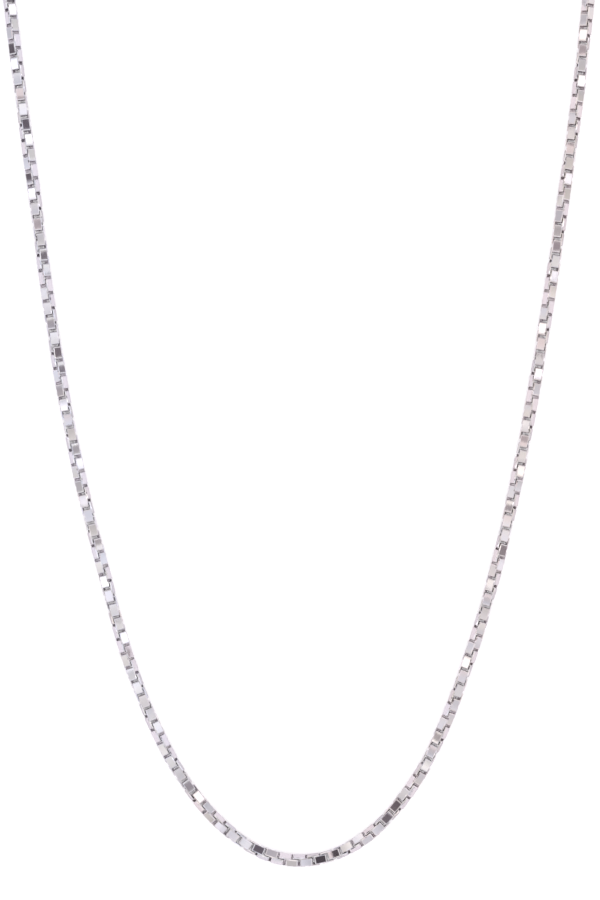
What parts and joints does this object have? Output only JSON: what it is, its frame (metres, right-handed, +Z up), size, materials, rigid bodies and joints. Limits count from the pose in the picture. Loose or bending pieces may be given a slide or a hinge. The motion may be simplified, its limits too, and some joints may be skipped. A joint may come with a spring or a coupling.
{
  "type": "box chain necklace",
  "caption": "Polished silver box chain necklace hung as worn: square flat-strip links in a long drape, a loop behind the neck, jump rings and a plain ring clasp.",
  "frame": {"origin": "nape_seat: the point at the middle of the back of the necklace, on its neck side, where it rests on the nape", "axes": "+Z up, +X to the right as seen from the front, the drape faces -Y"},
  "size_m": [0.1284, 0.0737, 0.2328],
  "materials": {
    "chain_silver": "mirror polished silver",
    "clasp_silver": "polished silver"
  },
  "bodies": {
    "root": {"front_chain": "chain_silver", "back_chain": "chain_silver", "jump_ring_left": "clasp_silver", "jump_ring_right": "clasp_silver", "clasp": "clasp_silver"}
  },
  "joints": []
}
